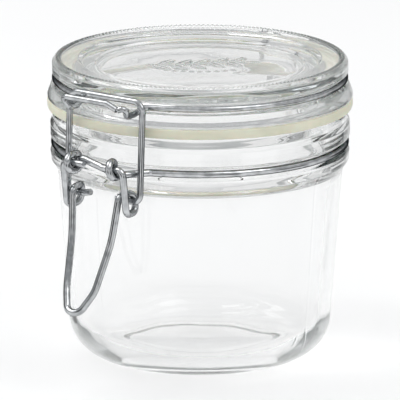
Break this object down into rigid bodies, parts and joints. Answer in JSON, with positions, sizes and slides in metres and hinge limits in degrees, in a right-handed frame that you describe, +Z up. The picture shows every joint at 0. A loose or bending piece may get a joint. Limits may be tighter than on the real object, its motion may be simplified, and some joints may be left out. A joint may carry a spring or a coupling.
{
  "type": "lidded glass canister",
  "caption": "Round clear glass canister with a hinged glass lid, a rubber sealing ring and an over-centre wire clamp that pulls the lid down.",
  "frame": {"origin": "on the jar's axis, in the plane its foot ring stands on", "axes": "+Z up along the jar's axis; -Y towards the wire clamp at the front, +Y towards the lid's hinge; X along all hinge axes"},
  "size_m": [0.1, 0.1272, 0.0995],
  "materials": {
    "clear_glass": "fire-polished clear soda-lime glass",
    "ivory_rubber": "matt moulded natural rubber",
    "wire_steel": "bright drawn wire"
  },
  "bodies": {
    "jar": {"glass_jar": "clear_glass", "neck_wire": "wire_steel"},
    "lid": {"glass_lid": "clear_glass", "gasket": "ivory_rubber", "lid_wire": "wire_steel"},
    "lever": {"lever": "wire_steel"},
    "bail": {"bail": "wire_steel"}
  },
  "joints": [
    {"name": "lid_hinge", "type": "hinge", "parent": "jar", "child": "lid", "pos_m": [0, 0.0546, 0.0806], "axis": [-1, 0, 0], "range_deg": [0, 110]},
    {"name": "lever_pivot", "type": "hinge", "parent": "jar", "child": "lever", "pos_m": [0, -0.0572, 0.0735], "axis": [-1, 0, 0], "range_deg": [0, 150]},
    {"name": "bail_pivot", "type": "hinge", "parent": "lever", "child": "bail", "pos_m": [0, -0.0516, 0.0624], "axis": [-1, 0, 0], "range_deg": [-108, 0]}
  ],
  "couplings": [
    {"joint": "bail_pivot", "follows": "lever_pivot", "ratio": -0.71}
  ]
}
